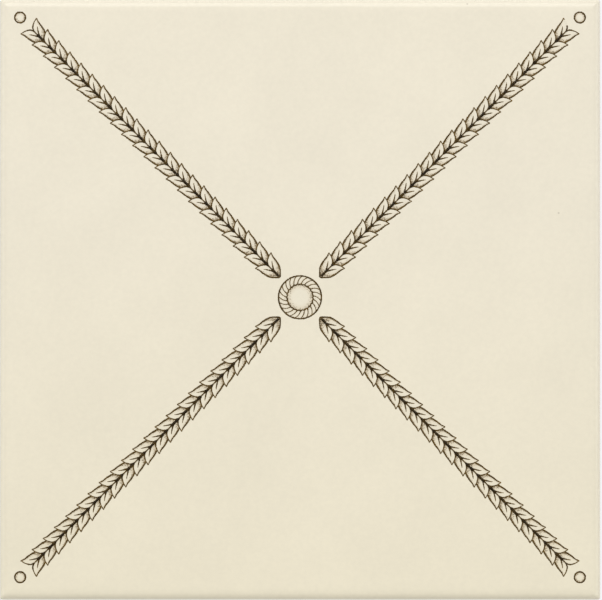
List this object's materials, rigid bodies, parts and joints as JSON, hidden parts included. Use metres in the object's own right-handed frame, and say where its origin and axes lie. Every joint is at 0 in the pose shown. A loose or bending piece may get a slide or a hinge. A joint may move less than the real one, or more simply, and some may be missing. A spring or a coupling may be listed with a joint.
{
  "type": "decorative wall tile",
  "caption": "Square glazed ceramic wall tile with cushioned face edges, a printed laurel cross and rope ring, and a keyed back for adhesive.",
  "frame": {"origin": "centre of the keyed back, on its bedding plane", "axes": "+Z out of the glazed face, +Y towards the top edge of the decoration, +X to its right"},
  "size_m": [0.152, 0.152, 0.007],
  "materials": {
    "cream_glaze": "gloss",
    "umber_print": "gloss"
  },
  "bodies": {
    "root": {"wall_tile": "cream_glaze"}
  },
  "joints": []
}
